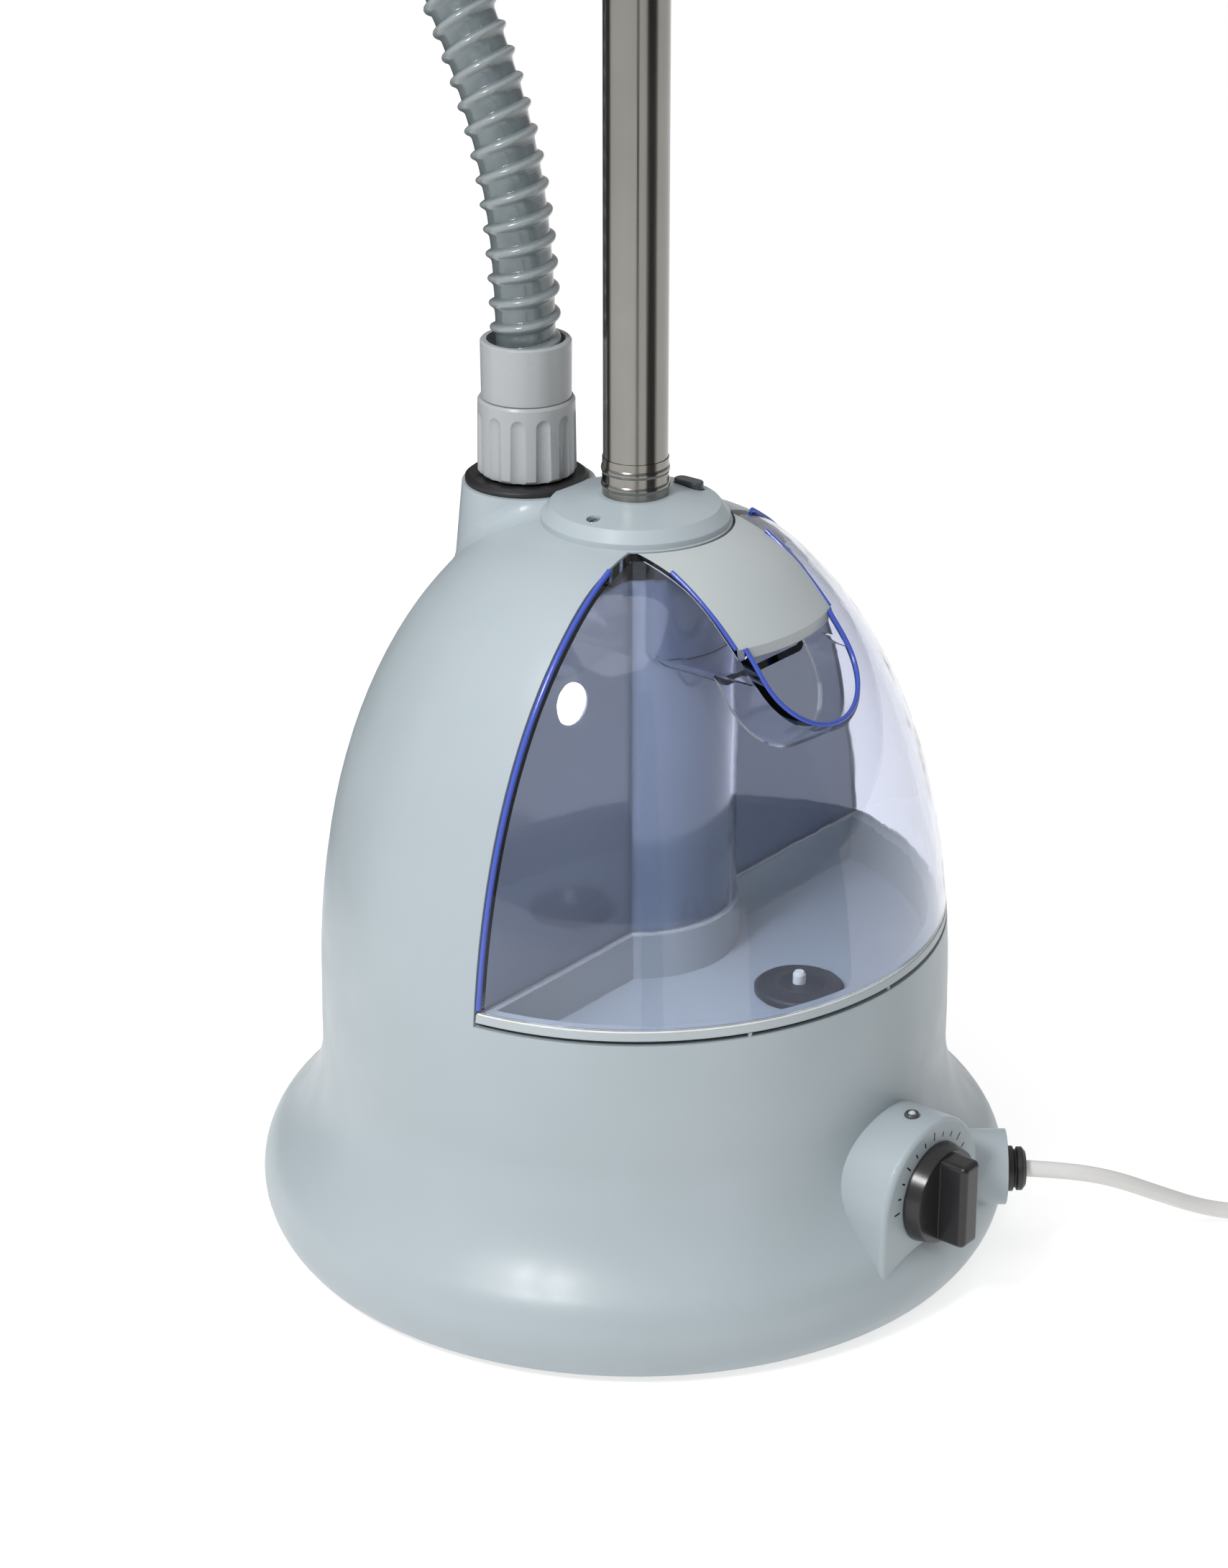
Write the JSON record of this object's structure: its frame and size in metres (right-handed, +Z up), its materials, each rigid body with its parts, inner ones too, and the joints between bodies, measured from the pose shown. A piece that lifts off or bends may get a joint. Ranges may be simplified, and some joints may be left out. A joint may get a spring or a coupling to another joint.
{
  "type": "garment steamer",
  "caption": "Upright garment steamer: bell-shaped base with lift-off clear water tank, rotary control, telescopic pole with folding hanger arms, ribbed hose and steam head.",
  "frame": {"origin": "on the floor, under the common axis of the bell-shaped base and the pole", "axes": "+Z up along the pole; the water tank and control knob face -Y; +X is to the right for someone facing the knob"},
  "size_m": [0.4785, 0.5955, 1.5663],
  "materials": {
    "housing": "satin moulded ABS, pale grey-blue",
    "housing_inner": "satin moulded ABS, pale grey-blue",
    "housing_dark": "moulded polypropylene",
    "rubber": "moulded rubber",
    "steel": "zinc-plated steel",
    "nickel": "bright nickel-plated steel tube",
    "button": "dark grey moulded plastic",
    "coupling": "satin moulded plastic, neutral grey",
    "hose": "ribbed grey-green hose over a metallised lining",
    "casting": "die-cast aluminium",
    "silicone": "translucent silicone rubber",
    "phenolic": "moulded phenolic",
    "lens": "clear lamp lens",
    "lead": "light grey PVC jacket",
    "brass_pins": "nickelled brass pins",
    "knob": "charcoal moulded plastic",
    "tank": "blue-tinted clear SAN, glossy",
    "handle": "satin moulded ABS, light grey",
    "tray": "satin moulded ABS, light grey",
    "valve_dark": "dark moulded plastic",
    "plate": "brushed stainless steel"
  },
  "bodies": {
    "root": {"base_plate": "housing_dark", "rubber_feet": "rubber", "base_screws": "steel", "housing_shell": "housing", "tank_bay_liner": "housing_inner", "pole_socket": "housing_dark", "cap_screw": "steel", "pole_lower": "nickel", "pole_collar": "nickel", "release_spring": "steel", "steam_gasket": "rubber", "steam_spigot": "housing_dark", "hose_collar": "coupling", "steam_hose": "hose", "boiler_body": "casting", "boiler_lid": "casting", "boiler_screws": "steel", "heating_element": "steel", "thermostat": "steel", "steam_pipe": "silicone", "water_pipe": "silicone", "valve_seat": "housing_dark", "seat_seal": "rubber", "rotary_switch": "phenolic", "pilot_bezel": "button", "pilot_lens": "lens", "cord_grommet": "rubber", "inner_lead": "lead", "cord_clamp": "housing_dark", "terminal_block": "coupling", "mains_lead": "lead", "lead_coil": "lead", "lead_tail": "lead", "plug_body": "lead", "plug_pins": "brass_pins", "clamp_collar": "housing", "clamp_pin": "steel"},
    "tank": {"tank_shell": "tank", "tank_handle": "handle", "tank_tray": "tray", "tank_seal": "silicone", "valve_cap": "valve_dark", "valve_spring": "steel"},
    "valve": {"valve_plunger": "silicone"},
    "knob": {"control_knob": "knob", "knob_shaft": "steel"},
    "release": {"release_button": "button"},
    "nut": {"coupling_nut": "coupling"},
    "lever": {"clamp_lever": "knob"},
    "mast": {"pole_upper": "nickel", "guide_bush": "coupling", "hanger_hub": "housing", "hanger_pins": "steel"},
    "arm_left": {"hanger_arm_left": "housing"},
    "arm_right": {"hanger_arm_right": "housing"},
    "head": {"head_back_shell": "housing", "head_front_shell": "housing", "steam_plate": "plate", "hose_cuff": "coupling"}
  },
  "joints": [
    {"name": "pole_slide", "type": "slide", "parent": "root", "child": "mast", "axis": [0, 0, 1], "range_m": [-0.44, 0], "deforming": ["steam_hose"]},
    {"name": "clamp_lever_turn", "type": "hinge", "parent": "root", "child": "lever", "pos_m": [0, -0.026, 0.912], "axis": [-1, 0, 0], "range_deg": [0, 95]},
    {"name": "arm_left_fold", "type": "hinge", "parent": "mast", "child": "arm_left", "pos_m": [-0.026, 0, 1.476], "axis": [0, 1, 0], "range_deg": [0, 82]},
    {"name": "arm_right_fold", "type": "hinge", "parent": "mast", "child": "arm_right", "pos_m": [0.026, 0, 1.476], "axis": [0, -1, 0], "range_deg": [0, 82]},
    {"name": "head_lift", "type": "slide", "parent": "mast", "child": "head", "axis": [0, 0, 1], "range_m": [0, 0.045]},
    {"name": "tank_lift", "type": "slide", "parent": "root", "child": "tank", "axis": [0, 0, 1], "range_m": [0, 0.22]},
    {"name": "valve_push", "type": "slide", "parent": "tank", "child": "valve", "axis": [0, 0, 1], "range_m": [0, 0.003], "stiffness_N_per_m": 200, "deforming": ["valve_spring"]},
    {"name": "knob_turn", "type": "hinge", "parent": "root", "child": "knob", "pos_m": [0, -0.166, 0.06], "axis": [0, -1, 0], "range_deg": [-270, 0]},
    {"name": "nut_turn", "type": "hinge", "parent": "root", "child": "nut", "pos_m": [0, 0.061, 0.358], "axis": [0, 0, 1], "range_deg": [-60, 0]},
    {"name": "button_push", "type": "slide", "parent": "root", "child": "release", "axis": [0, 0, -1], "range_m": [0, 0.0025], "stiffness_N_per_m": 400, "deforming": ["release_spring"]}
  ]
}
